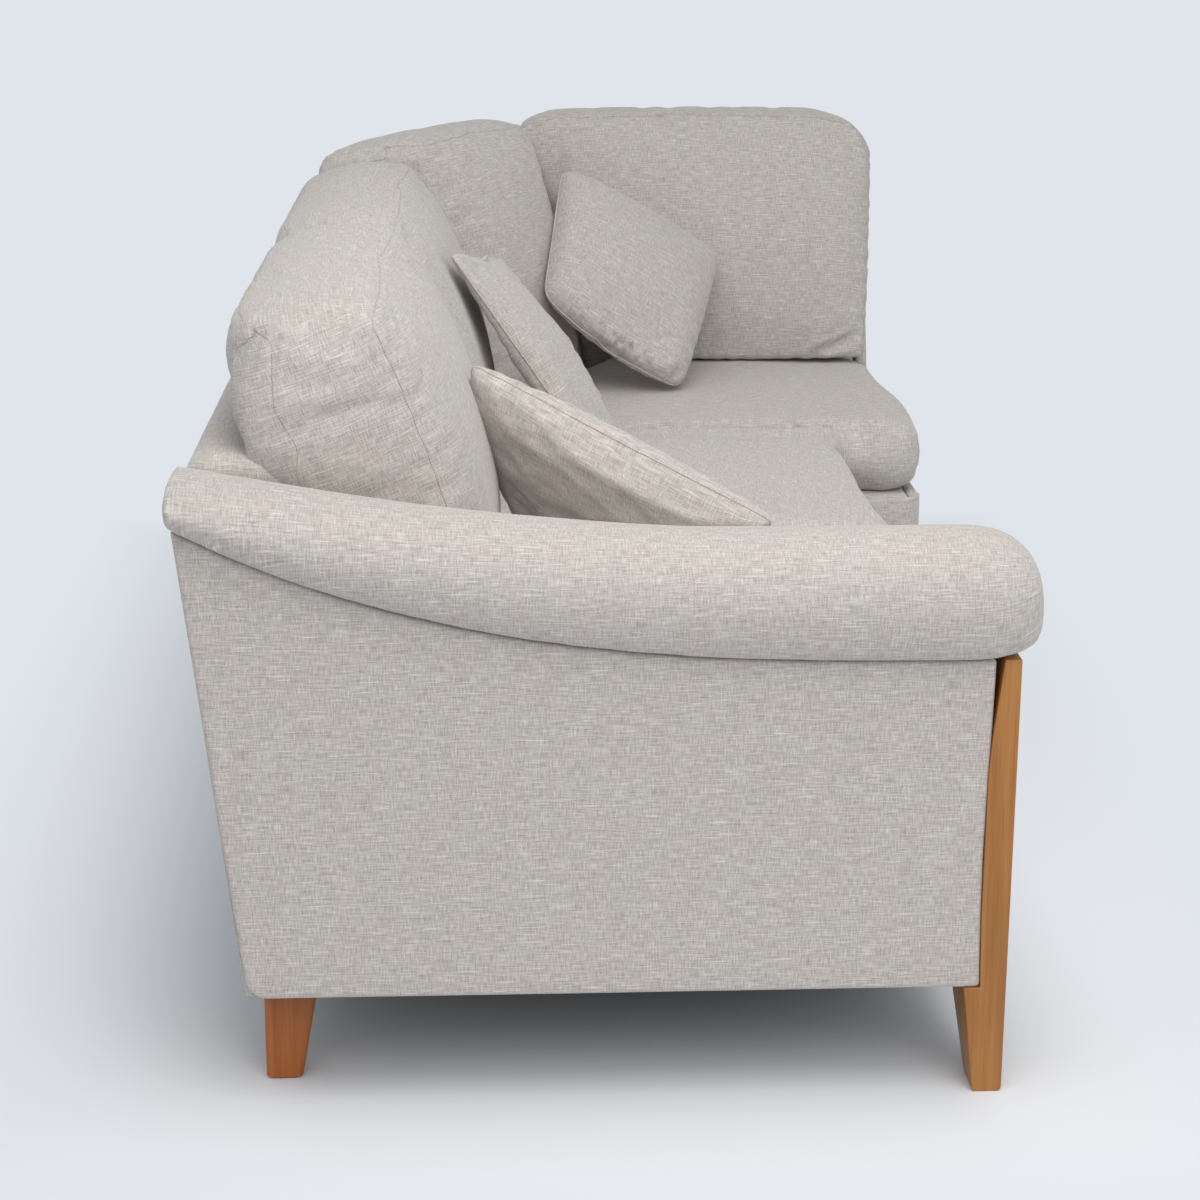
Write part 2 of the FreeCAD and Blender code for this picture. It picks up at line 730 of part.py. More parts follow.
bolt_z = (frame_bottom + block_height + rail_top) / 2.0
bolt_places = [rail_back + 2 * rail_thickness, (rail_back + front_line) / 2.0,
               front_line - 2 * rail_thickness]
unit_bolts = [unit_bolt(x, bolt_z) for x in bolt_places]
unit_holes = Part.makeCompound([hole for _, _, hole in unit_bolts])
parts["unit_bolts"] = Part.makeCompound([bolt for bolt, _, _ in unit_bolts])
parts["unit_nuts"] = Part.makeCompound([nut for _, nut, _ in unit_bolts])
parts["run_joint_rail"] = parts["run_joint_rail"].cut(unit_holes)
parts["corner_front_rail"] = parts["corner_front_rail"].cut(unit_holes)


# Seat cushions: flat below, crowned above, with a bull nose at the front
def seat_section(place, rear, front, low, high, crown, nose):
    mid = (low + high) / 2.0
    start = place(rear, low)
    return path_wire(start, [[place(front, low)],
                             [place(front + nose, mid), place(front, high)],
                             [place((rear + front) / 2.0, high + crown), place(rear, high)],
                             [start]])


crown_shares = [(0.0, 0.3), (0.1, 0.7), (0.35, 1.0), (0.65, 1.0), (0.9, 0.7), (1.0, 0.3)]
seat_rear = inner(deck_height) + seat_gap


def run_seat(y0, y1):
    sections = []
    for share, crown in crown_shares:
        y = y0 + (y1 - y0) * share
        drop = edge_drop * (1.0 - crown)
        draw = seat_gap * crown
        sections.append(seat_section(lambda x, z, y=y: Vector(x, y, z), seat_rear,
                                     run_depth - seat_nose / 2.0 - draw, seat_bottom,
                                     seat_top - drop, seat_crown * crown, seat_nose))
    return Part.makeLoft(sections, True, True)


seat_start = arm_thickness + seat_gap
seat_end = run_length - seat_gap
seat_width = (seat_end - seat_start - seat_gap) / 2.0
parts["seat_cushion_1"] = run_seat(seat_start, seat_start + seat_width)
parts["seat_cushion_2"] = run_seat(seat_end - seat_width, seat_end)


# The corner seat follows the turned back behind it and rounds off at the open end.
def corner_seat():
    bend_x = mitre(1, seat_rear).x
    start_x = seat_rear
    end_x = corner_width
    half = seat_thickness / 2.0
    stations = [(start_x, 0.4, 0.0), ((start_x + bend_x) / 2.0, 0.8, 0.0), (bend_x, 1.0, 0.0),
                ((bend_x + end_x) / 2.0, 1.0, 0.0)]
    for step in end_steps:
        reach = math.sin(math.radians(step)) / math.sin(math.radians(end_steps[-1]))
        stations.append((end_x - half + half * reach, 0.6, math.radians(step)))
    sections = []
    for x, crown, lean in stations:
        drop = edge_drop * (1.0 - crown)
        inset = end_round * (1.0 - math.cos(lean))
        middle = (seat_bottom + seat_top - drop) / 2.0
        tall = (middle - seat_bottom) * math.cos(lean) ** end_full
        rear = inset - seat_limit(x, seat_rear)
        front = -(run_length + seat_gap + seat_nose + drop + inset)
        sections.append(seat_section(lambda y, z, x=x: Vector(x, -y, z), rear, front,
                                     middle - tall, middle + tall,
                                     seat_crown * crown * math.cos(lean),
                                     seat_nose * math.cos(lean)))
    return Part.makeLoft(sections, True, True)


parts["corner_seat_cushion"] = corner_seat()


# Back cushions: boxed, leaning on the inside back and swelling over the roll, fullest at mid
# width
stand_z = seat_peak + rest_gap


# Middle of a side from a to b that swells to its right.
def swell(a, b, amount):
    side = (b - a).normalize()
    return (a + b) * 0.5 + Vector(side.y, -side.x) * amount



def back_section(place, rise, full, drop):
    blunt = (1.0 - full) ** 3
    belly = back_cushion_end_belly + (back_cushion_belly - back_cushion_end_belly) * full
    lap = back_cushion_end_lap + (back_cushion_lap - back_cushion_end_lap) * full ** lap_rise
    crown = back_cushion_crown * max(full, 0.2)
    rear_low = inner(stand_z) + rest_gap
    knee_z = back_height + back_cushion_knee
    knee = inner(knee_z) + rest_gap
    rear_top_z = stand_z + rise - back_cushion_draw * full - drop * blunt
    rear_top = inner(rear_top_z) - rear_seam_out + (rear_seam_out + rear_seam_set) * blunt
    front_low = rear_low + back_cushion_foot - corner_shrink * blunt
    front_top = inner(rear_top_z) + back_cushion_top - corner_shrink * blunt
    front_top_z = rear_top_z + back_cushion_tilt
    front_mid = swell(Vector(front_low, stand_z), Vector(front_top, front_top_z), belly)
    rear_mid = swell(Vector(rear_top, rear_top_z), Vector(knee, knee_z), lap)
    start = place(rear_low, stand_z)
    top_mid = place((rear_top + front_top) / 2.0, (rear_top_z + front_top_z) / 2.0 + crown)
    return path_wire(start, [[place(front_low, stand_z)],
                             [place(front_mid.x, front_mid.y), place(front_top, front_top_z)],
                             [top_mid, place(rear_top, rear_top_z)],
                             [place(rear_mid.x, rear_mid.y), place(knee, knee_z)],
                             [start]])


cushion_fullness = [(0.0, 0.0), (0.05, 0.35), (0.15, 0.7), (0.5, 1.0), (0.85, 0.7), (0.95, 0.35),
                    (1.0, 0.0)]


def back_cushion(index, begin, end, rise, drop):
    stretch = stretches[index]
    sections = []
    for share, full in cushion_fullness:
        def place(d, z, share=share):
            s = begin(d, z) + (end(d, z) - begin(d, z)) * share
            return stretch.at(s, d, z)
        sections.append(back_section(place, rise, full, drop))
    return Part.makeLoft(sections, True, True)


back_start = arm_inner + arm_clearance
back_middle = (back_start + turn_start - inner(stand_z) * math.tan(turn / 2.0)) / 2.0


# The near cushions end on the mitre of the turned back.
def near_end(d, z):
    return turn_start - inner(z) * math.tan(turn / 2.0) - cushion_gap / 2.0


parts["back_cushion_1"] = back_cushion(0, lambda d, z: back_start,
                                       lambda d, z: back_middle - seat_gap / 2.0,
                                       back_cushion_rise, near_corner_drop)
parts["back_cushion_2"] = back_cushion(0, lambda d, z: back_middle + seat_gap / 2.0, near_end,
                                       back_cushion_rise, near_corner_drop)

# The diagonal cushion starts square to the near back and tapers towards the far one.
far_cushion_end = corner_width - far_end_inset - turn_x


def diagonal_begin(d, z):
    lead = near_end(d, z) + cushion_gap - turn_start + d * math.sin(turn)
    return lead / math.cos(turn)


def diagonal_end(d, z):
    return diagonal_length - diagonal_far_gap - far_taper * d


def far_begin(d, z):
    return far_slant * inner(z) - far_lead


def far_finish(d, z):
    return far_cushion_end - far_end_slant * (stand_z + far_rise - z)


parts["diagonal_back_cushion"] = back_cushion(1, diagonal_begin, diagonal_end, diagonal_rise,
                                              near_corner_drop)
parts["far_back_cushion"] = back_cushion(2, far_begin, far_finish, far_rise,
                                         far_corner_drop)


# Scatter cushions, lens shaped with drawn-in sides, given by their four corners
least_bulge = 0.5
seats = Part.makeCompound([parts[name] for name in ("seat_cushion_1", "seat_cushion_2",
                                                    "corner_seat_cushion")])


def pillow(top_left, top_right, low_right, low_left, thickness):
    normal = (top_right - top_left).cross(low_left - top_left).normalize()
    sections = []
    for share in (0.0, 0.16, 0.5, 0.84, 1.0):
        full = 1.0 - (2.0 * share - 1.0) ** 2
        high = top_left + (top_right - top_left) * share
        low = low_left + (low_right - low_left) * share
        draw = (low - high) * (pillow_draw * full)
        high = high + draw
        low = low - draw
        edge = normal * (pillow_edge / 2.0)
        swell = (thickness - pillow_edge) / 2.0 * full ** pillow_full + least_bulge
        bulge = edge + normal * swell
        mid = (high + low) / 2.0
        start = high + edge
        sections.append(path_wire(start, [[mid + bulge, low + edge], [low - edge],
                                          [mid - bulge, high - edge], [start]]))
    solid = Part.makeLoft(sections, True, True)
    drop = solid.optimalBoundingBox().ZMin - seat_peak - rest_gap
    solid = solid.translated(Vector(0, 0, -drop))
    settle = solid.distToShape(seats)[0] - rest_gap
    return solid.translated(Vector(0, 0, -settle))


# Corners, each in from the face of the back at its own height, along, and above the seat; the
# third is measured from the second turn of the back.
scatter_places = {
    "scatter_cushion_1": (near, [(202, 466, 273), (500, 332, 104), (403, 425, 4), (196, 545, 4)]),
    "scatter_cushion_2": (near, [(191, 950, 332), (235, 1296, 272), (318, 1285, 4),
                                 (300, 945, 4)]),
    "scatter_cushion_3": (far, [(30, -322, 365), (272, -191, 193),
                               (151, -413, 18), (-47, -504, 185)]),
}
for name, (stretch, places) in scatter_places.items():
    corners = []
    for reach, run, rise in places:
        z = stand_z + rise
        origin = mitre(1, inner(z)) if stretch is far else Vector(inner(z), 0, 0)
        corners.append(origin + Vector(reach, run, z))
    parts[name] = pillow(*corners, pillow_thickness)

# Centre the sofa on its box and write one file per piece
os.makedirs("parts", exist_ok=True)
bounds = Part.makeCompound(list(parts.values())).optimalBoundingBox()
centre = Vector(bounds.Center.x, bounds.Center.y, 0)
for name, shape in parts.items():
    shape.translate(centre * -1.0)
    shape.exportStep("parts/%s.step" % name)
    print(name, len(shape.Solids), shape.isValid(), round(shape.Volume / 1000.0, 1))
print("nodes", len(parts), "centre", round(centre.x, 3), round(centre.y, 3))
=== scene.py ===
import bpy
import bmesh
import json
import math
from mathutils import Matrix, Vector, noise
from mathutils.bvhtree import BVHTree
from mathutils.kdtree import KDTree


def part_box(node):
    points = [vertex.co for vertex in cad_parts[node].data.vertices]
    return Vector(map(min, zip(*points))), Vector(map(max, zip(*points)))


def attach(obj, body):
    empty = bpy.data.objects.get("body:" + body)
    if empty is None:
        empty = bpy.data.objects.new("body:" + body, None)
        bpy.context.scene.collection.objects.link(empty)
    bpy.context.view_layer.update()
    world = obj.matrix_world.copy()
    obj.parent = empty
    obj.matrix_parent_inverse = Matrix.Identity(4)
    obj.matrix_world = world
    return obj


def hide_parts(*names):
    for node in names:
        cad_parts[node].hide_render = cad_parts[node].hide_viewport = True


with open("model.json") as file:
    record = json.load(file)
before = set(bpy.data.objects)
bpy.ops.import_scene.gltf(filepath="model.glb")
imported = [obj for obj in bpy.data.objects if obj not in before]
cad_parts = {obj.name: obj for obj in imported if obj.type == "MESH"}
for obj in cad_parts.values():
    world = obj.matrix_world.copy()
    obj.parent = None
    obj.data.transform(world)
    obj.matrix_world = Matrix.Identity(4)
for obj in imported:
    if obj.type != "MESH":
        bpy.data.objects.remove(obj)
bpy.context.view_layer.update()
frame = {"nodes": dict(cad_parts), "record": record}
scene = bpy.context.scene
print("frame loaded:", len(frame["nodes"]), "nodes")

# camera: end-on view past the arm, worked out for a 1200 x 1200 picture
cameraSet = dict(place=(-0.1665, -3.6845, 1.323), lens=77.86, sensor=36.0, pitch=16.06, yaw=2.40)


def makeCamera(s):
    data = bpy.data.cameras.new("photoCamera")
    data.lens = s["lens"]
    data.sensor_width = s["sensor"]
    data.clip_end = 200.0
    camera = bpy.data.objects.new("photoCamera", data)
    camera.location = s["place"]
    camera.rotation_euler = (math.radians(90.0 - s["pitch"]), 0.0, -math.radians(s["yaw"]))
    scene.collection.objects.link(camera)
    scene.camera = camera


# light: a pale even room, a broad soft key from above the camera's side, and three wide lamps,
# over the arm, beside the camera and over the seat, that light the near end more than the far one
lightSet = dict(room=(0.745, 0.783, 0.831), roomTint=(0.93, 0.965, 1.0), roomStrength=0.47,
                keyTurn=(34.0, 16.0, -20.0), keyPower=0.82, keySpread=75.0,
                keyTint=(1.0, 0.97, 0.93), lampTint=(1.0, 0.975, 0.94))
lampSet = dict(
    overLamp=dict(place=(0.2, -1.75, 2.7), target=(0.0, -1.05, 0.5), size=1.6, power=21.0,
                  spread=180.0),
    frontLamp=dict(place=(0.7, -3.6, 2.2), target=(0.0, -1.0, 0.5), size=2.0, power=24.0,
                   spread=180.0),
    seatLamp=dict(place=(0.25, -0.65, 2.7), target=(0.15, -0.45, 0.5), size=1.4, power=2.4,
                  spread=70.0))


def newLamp(name, kind, power, tint):
    data = bpy.data.lights.new(name, kind)
    data.energy = power
    data.color = tint
    lamp = bpy.data.objects.new(name, data)
    scene.collection.objects.link(lamp)
    return lamp


def makeStage(s):
    world = bpy.data.worlds.new("room")
    world.use_nodes = True
    t = Tree(world)
    back = t.tree.nodes["Background"]                                   # lights the sofa
    back.inputs["Strength"].default_value = s["roomStrength"]
    back.inputs["Color"].default_value = (*s["roomTint"], 1)
    shown = t.node("ShaderNodeBackground")                              # shows behind it
    shown.inputs["Color"].default_value = (*s["room"], 1)
    t.mixShaders(t.seen(), back, shown, t.tree.nodes["World Output"])
    scene.world = world
    key = newLamp("keyLamp", "SUN", s["keyPower"], s["keyTint"])
    key.data.angle = math.radians(s["keySpread"])
    key.rotation_euler = [math.radians(a) for a in s["keyTurn"]]
    for name, row in lampSet.items():
        lamp = newLamp(name, "AREA", row["power"], s["lampTint"])
        lamp.data.size = row["size"]
        lamp.data.spread = math.radians(row["spread"])
        lamp.location = row["place"]
        aim = Vector(row["target"]) - lamp.location
        lamp.rotation_euler = aim.to_track_quat("-Z", "Y").to_euler()
    bm = bmesh.new()
    bmesh.ops.create_grid(bm, x_segments=8, y_segments=8, size=floorSet["size"])
    floor = newPiece("floor", bm, floorMaterial(floorSet, s["room"]))


def newPiece(name, bm, material):
    mesh = bpy.data.meshes.new(name)
    bm.to_mesh(mesh)
    bm.free()
    for poly in mesh.polygons:
        poly.use_smooth = True
    piece = bpy.data.objects.new(name, mesh)
    scene.collection.objects.link(piece)
    mesh.materials.append(material)
    return piece


# nodes are added to the tree of a material or the world through these
class Tree:
    def __init__(self, owner):
        self.tree = owner.node_tree

    def node(self, kind, **values):
        made = self.tree.nodes.new(kind)
        for key, value in values.items():
            setattr(made, key, value)
        return made

    def link(self, a, b):
        self.tree.links.new(a, b)

    def sums(self, operation, a, b=None, clamp=False):
        made = self.node("ShaderNodeMath", operation=operation, use_clamp=clamp)
        for place, value in enumerate([a, b]):
            if value is None:
                continue
            if isinstance(value, (int, float)):
                made.inputs[place].default_value = value
            else:
                self.link(value, made.inputs[place])
        return made.outputs[0]

    def stretched(self, source, scale, detail, rough=0.5, shift=(0, 0, 0)):
        mapping = self.node("ShaderNodeMapping")
        mapping.inputs["Scale"].default_value = scale
        mapping.inputs["Location"].default_value = shift
        self.link(source, mapping.inputs["Vector"])
        cloud = self.node("ShaderNodeTexNoise")
        cloud.inputs["Scale"].default_value = 1.0
        cloud.inputs["Detail"].default_value = detail
        cloud.inputs["Roughness"].default_value = rough
        self.link(mapping.outputs[0], cloud.inputs["Vector"])
        return cloud.outputs["Fac"]

    def ramp(self, value, stops):
        made = self.node("ShaderNodeValToRGB")
        bar = made.color_ramp
        while len(bar.elements) < len(stops):
            bar.elements.new(0.5)
        for element, (place, colour) in zip(bar.elements, stops):
            element.position = place
            element.color = (*colour, 1)
        self.link(value, made.inputs[0])
        return made.outputs[0]

    def blend(self, factor, a, b, kind="MIX"):
        made = self.node("ShaderNodeMix", data_type="RGBA", blend_type=kind)
        for place, value in ((0, factor), (6, a), (7, b)):
            if isinstance(value, (int, float)):
                made.inputs[place].default_value = value
            elif isinstance(value, tuple):
                made.inputs[place].default_value = (*value, 1)
            else:
                self.link(value, made.inputs[place])
        return made.outputs[2]

    def bump(self, height, strength, distance, shader):
        made = self.node("ShaderNodeBump")
        made.inputs["Strength"].default_value = strength
        made.inputs["Distance"].default_value = distance
        self.link(height, made.inputs["Height"])
        self.link(made.outputs[0], shader.inputs["Normal"])

    def seen(self):                                                     # 1 where it is looked at
        path = self.node("ShaderNodeLightPath").outputs
        return self.sums("MAXIMUM", path["Is Camera Ray"], path["Is Glossy Ray"])

    def mixShaders(self, factor, a, b, end):
        made = self.node("ShaderNodeMixShader")
        for place, value in enumerate((factor, a.outputs[0], b.outputs[0])):
            self.link(value, made.inputs[place])
        self.link(made.outputs[0], end.inputs["Surface"])


def newMaterial(name, values):
    material = bpy.data.materials.new(name)
    material.use_nodes = True
    t = Tree(material)
    shader = t.tree.nodes["Principled BSDF"]
    for key, value in values.items():
        shader.inputs[key].default_value = value
    return material, t, shader


# pale floor that holds the sofa's shadow near it and turns into the plain backdrop further out
floorSet = dict(colour=(0.765, 0.79, 0.83), rough=0.9, gloss=0.1, size=60.0,
                right=0.42, left=0.51, ends=1.1, clear=(-0.02, 0.50))


def floorMaterial(s, room):
    material, t, shader = newMaterial("floorPaint", {
        "Base Color": (*s["colour"], 1), "Roughness": s["rough"], "Specular IOR Level": s["gloss"]})
    split = t.node("ShaderNodeSeparateXYZ")
    t.link(t.node("ShaderNodeTexCoord").outputs["Object"], split.inputs[0])
    beside = t.sums("MAXIMUM", t.sums("SUBTRACT", split.outputs[0], s["right"]),
                    t.sums("SUBTRACT", t.sums("MULTIPLY", split.outputs[0], -1.0), s["left"]))
    beyond = t.sums("SUBTRACT", t.sums("ABSOLUTE", split.outputs[1]), s["ends"])
    reach = t.node("ShaderNodeMapRange", interpolation_type="SMOOTHSTEP")
    reach.inputs["From Min"].default_value, reach.inputs["From Max"].default_value = s["clear"]
    t.link(t.sums("MAXIMUM", beside, beyond), reach.inputs["Value"])
    backdrop = t.node("ShaderNodeEmission")
    backdrop.inputs["Color"].default_value = (*room, 1)
    t.mixShaders(t.sums("MULTIPLY", reach.outputs[0], t.seen()), shader, backdrop,
                 t.tree.nodes["Material Output"])
    return material


# linen: warp and weft threads of uneven grey, with pale slubs, on the piece's own weave map;
# Long is how often a thread changes along its length per metre, Wide its share of the thread count
linenSet = dict(pitch=0.0016, dark=(0.315, 0.288, 0.268), mid=(0.470, 0.442, 0.416),
                pale=(0.665, 0.640, 0.612), slub=(0.80, 0.780, 0.755), stops=(0.22, 0.50, 0.80),
                rough=0.92, gloss=0.15, sheen=0.25, sheenRough=0.5,
                warpLong=85.0, weftLong=48.0, slowLong=6.0, slowWide=0.25,
                threadShare=1.15, slowShare=0.08, darker=0.155,
                cloud=24.0, warm=(0.38, (1.0, 0.965, 0.965)), cool=(0.62, (0.978, 0.985, 0.978)),
                slubLong=30.0, slubWide=0.75, slubUpLong=60.0, slubUpWide=0.80, slubUpLess=0.05,
                slubFrom=0.61, slubGain=8.0, slubShare=0.42,
                threadRise=0.7, slubRise=0.5, bump=0.55, bumpDepth=0.0009)


def linenMaterial(name, s, tone=1.0):
    material, t, shader = newMaterial(name, {
        "Roughness": s["rough"], "Specular IOR Level": s["gloss"], "Sheen Weight": s["sheen"],
        "Sheen Roughness": s["sheenRough"]})
    uv = t.node("ShaderNodeUVMap", uv_map="weave").outputs[0]
    per = 1.0 / s["pitch"]
    slow = per * s["slowWide"]
    warp = t.stretched(uv, (per, s["warpLong"], 1.0), 1.0)                        # upright threads
    weft = t.stretched(uv, (s["weftLong"], per, 1.0), 1.0, shift=(7.3, 2.1, 0))   # level threads
    warpSlow = t.stretched(uv, (slow, s["slowLong"], 1.0), 2.0, shift=(3.1, 9.2, 0))
    weftSlow = t.stretched(uv, (s["slowLong"], slow, 1.0), 2.0, shift=(1.7, 5.5, 0))
    slubs = t.stretched(uv, (s["slubLong"], per * s["slubWide"], 1.0), 1.0, shift=(4.4, 8.8, 0))
    slubsUp = t.stretched(uv, (per * s["slubUpWide"], s["slubUpLong"], 1.0), 1.0,
                          shift=(6.4, 1.8, 0))
    cloud = t.stretched(uv, (s["cloud"], s["cloud"], 1.0), 2.0, shift=(0.4, 0.9, 0))
    split = t.node("ShaderNodeSeparateXYZ")
    t.link(uv, split.inputs[0])
    across = t.sums("SINE", t.sums("MULTIPLY", split.outputs[0], math.pi * per))
    upward = t.sums("SINE", t.sums("MULTIPLY", split.outputs[1], math.pi * per))
    over = t.sums("MULTIPLY_ADD", t.sums("MULTIPLY", across, upward), 0.5)
    over.node.inputs[2].default_value = 0.5                             # which thread lies on top
    thread = t.sums("ADD", t.sums("MULTIPLY", warp, t.sums("SUBTRACT", 1.0, over)),
                    t.sums("MULTIPLY", weft, over))
    value = t.sums("ADD", t.sums("MULTIPLY", thread, s["threadShare"]),
                   t.sums("MULTIPLY", t.sums("ADD", warpSlow, weftSlow), s["slowShare"]))
    value = t.sums("SUBTRACT", value, s["darker"])
    dark, mid, pale, slub = [tuple(c * tone for c in s[key])
                             for key in ("dark", "mid", "pale", "slub")]
    body = t.ramp(value, list(zip(s["stops"], (dark, mid, pale))))
    body = t.blend(1.0, body, t.ramp(cloud, [s["warm"], s["cool"]]), "MULTIPLY")
    most = t.sums("MAXIMUM", slubs, t.sums("SUBTRACT", slubsUp, s["slubUpLess"]))
    lit = t.sums("MULTIPLY", t.sums("SUBTRACT", most, s["slubFrom"]), s["slubGain"], True)
    lit = t.sums("MULTIPLY", lit, s["slubShare"])
    t.link(t.blend(lit, body, slub), shader.inputs["Base Color"])
    height = t.sums("ADD", t.sums("MULTIPLY", thread, s["threadRise"]),
                    t.sums("MULTIPLY", lit, s["slubRise"]))
    t.bump(height, s["bump"], s["bumpDepth"], shader)
    return material


# wood: straight grain along one axis; grain, pores and broad are noise scales across and along it
woodBase = dict(rough=0.42, coat=0.12, coatRough=0.35, stops=(0.30, 0.50, 0.68),
                grain=(95.0, 3.2), pores=(620.0, 14.0), broad=(17.0, 1.6),
                grainShare=0.6, broadShare=0.4, poreFrom=0.44, poreGain=5.0, poreShare=0.4,
                bump=0.25, bumpDepth=0.0006)
oakSet = dict(woodBase, pale=(0.455, 0.207, 0.049), mid=(0.345, 0.136, 0.025),
              dark=(0.206, 0.071, 0.012))
legSet = dict(woodBase, pale=(0.470, 0.148, 0.022), mid=(0.364, 0.103, 0.013),
              dark=(0.226, 0.057, 0.007), coat=0.05)
timberSet = dict(woodBase, pale=(0.62, 0.46, 0.27), mid=(0.52, 0.37, 0.20),
                 dark=(0.40, 0.26, 0.13), coat=0.0, rough=0.7)


def woodMaterial(name, s, along):
    material, t, shader = newMaterial(name, {
        "Coat Weight": s["coat"], "Coat Roughness": s["coatRough"], "Roughness": s["rough"]})
    place = t.node("ShaderNodeTexCoord").outputs["Object"]
    grainScale, poreScale, broadScale = [
        tuple(s[key][1] if i == along else s[key][0] for i in range(3))
        for key in ("grain", "pores", "broad")]
    grain = t.stretched(place, grainScale, 4.0, 0.6)
    pores = t.stretched(place, poreScale, 2.0, 0.5, (2.2, 4.1, 0.3))
    broad = t.stretched(place, broadScale, 2.0, 0.5, (5.0, 1.0, 3.0))
    value = t.sums("ADD", t.sums("MULTIPLY", grain, s["grainShare"]),
                   t.sums("MULTIPLY", broad, s["broadShare"]))
    body = t.ramp(value, list(zip(s["stops"], (s["dark"], s["mid"], s["pale"]))))
    pit = t.sums("MULTIPLY", t.sums("SUBTRACT", s["poreFrom"], pores), s["poreGain"], True)
    t.link(t.blend(t.sums("MULTIPLY", pit, s["poreShare"]), body, s["dark"]),
           shader.inputs["Base Color"])
    t.bump(t.sums("SUBTRACT", grain, pit), s["bump"], s["bumpDepth"], shader)
    return material


# webbing, lining and steel, which show only from below or with the cushions off
grainySet = dict(low=0.7, high=1.25, stops=(0.35, 0.65), bump=0.2, bumpDepth=0.0005)


def grainyMaterial(name, colour, rough, fleck, metal=0.0):
    s = grainySet
    material, t, shader = newMaterial(name, {"Roughness": rough, "Metallic": metal})
    place = t.node("ShaderNodeTexCoord").outputs["Object"]
    cloud = t.stretched(place, (fleck, fleck, fleck), 3.0)
    low = tuple(c * s["low"] for c in colour)
    high = tuple(min(c * s["high"], 1.0) for c in colour)
    t.link(t.ramp(cloud, list(zip(s["stops"], (low, high)))), shader.inputs["Base Color"])
    t.bump(cloud, s["bump"], s["bumpDepth"], shader)
    return material


makeCamera(cameraSet)
makeStage(lightSet)
linen = linenMaterial("linen", linenSet)
# the cushions' seam cords take a darker copy of the linen: painted shade along the seam grooves
seamShadeLinen = linenMaterial("seamShadeLinen", linenSet, 0.86)
oak = woodMaterial("oak", oakSet, 2)
legOak = woodMaterial("legOak", legSet, 2)
timber = {axis: woodMaterial("timber" + axis, timberSet, i) for i, axis in enumerate("XYZ")}
webbing = grainyMaterial("webbing", (0.05, 0.045, 0.04), 0.9, 400.0)
lining = grainyMaterial("liningCloth", (0.012, 0.012, 0.013), 0.95, 500.0)
steel = grainyMaterial("zincSteel", (0.55, 0.55, 0.54), 0.35, 300.0, 1.0)
print("materials made")

slotOf = {row["node"]: row["material_slot"] for row in frame["record"]["subparts"]}
seamStep = 0.004                                                        # between points of a seam


def cadCopy(node):
    bm = bmesh.new()
    bm.from_mesh(frame["nodes"][node].data)
    bmesh.ops.remove_doubles(bm, verts=bm.verts, dist=2e-5)
    bmesh.ops.recalc_face_normals(bm, faces=bm.faces)
    bm.normal_update()
    return bm


def modified(bm, kind, **values):
    mesh = bpy.data.meshes.new("working")
    bm.to_mesh(mesh)
    bm.free()
    temporary = bpy.data.objects.new("working", mesh)
    scene.collection.objects.link(temporary)
    modifier = temporary.modifiers.new("working", kind)
    for key, value in values.items():
        setattr(modifier, key, value)
    made = bpy.data.meshes.new_from_object(
        temporary.evaluated_get(bpy.context.evaluated_depsgraph_get()))
    bpy.data.objects.remove(temporary)
    bpy.data.meshes.remove(mesh)
    out = bmesh.new()
    out.from_mesh(made)
    bpy.data.meshes.remove(made)
    out.normal_update()
    return out


# weave map from the side each face looks to, in the piece's own turn: u level, v up or inwards
def weaveMap(bm, turn):
    layer = bm.loops.layers.uv.new("weave")
    back = turn.inverted()
    for face in bm.faces:
        n = back @ face.normal
        for loop in face.loops:
            p = back @ loop.vert.co
            if abs(n.x) >= abs(n.y) and abs(n.x) >= abs(n.z):
                loop[layer].uv = (p.y, p.z)
            elif abs(n.z) >= abs(n.y):
                loop[layer].uv = (p.y, p.x)
            else:
                loop[layer].uv = (p.x, p.z)


# seam lines: edges of the CAD solid where a panel that faces along the axis, either way, ends
def seamLines(bm, axis, least):
    wanted = {}
    for edge in bm.edges:
        if len(edge.link_faces) != 2:
            continue
        facing = [f.normal.dot(axis) for f in edge.link_faces]
        for sign in (1.0, -1.0):
            if (facing[0] * sign > least) != (facing[1] * sign > least):
                for a, b in (edge.verts, reversed(edge.verts)):
                    wanted.setdefault((sign, a), []).append(b)
    lines = []
    while wanted:
        sign, start = next(iter(wanted))
        line = [start]
        here = start
        while wanted.get((sign, here)):
            there = wanted[(sign, here)].pop()
            wanted[(sign, there)].remove(here)
            line.append(there)
            here = there
        for key in [k for k, v in wanted.items() if not v]:
            del wanted[key]
        if len(line) > 2:
            lines.append([v.co.copy() for v in line])
    return lines


# the same line with its points one step apart
def evenly(line, step):
    out = [line[0]]
    spare = 0.0
    for a, b in zip(line, line[1:]):
        length = (b - a).length
        while spare + length >= step:
            share = (step - spare) / length
            a = a.lerp(b, share)
            length = (b - a).length
            spare = 0.0
            out.append(a)
        spare += length
    return out


# cloth blown out a little between its pinned seams
clothSet = dict(quality=4, mass=0.3, tension_stiffness=18.0, compression_stiffness=12.0,
                shear_stiffness=6.0)
clothFrames = 14


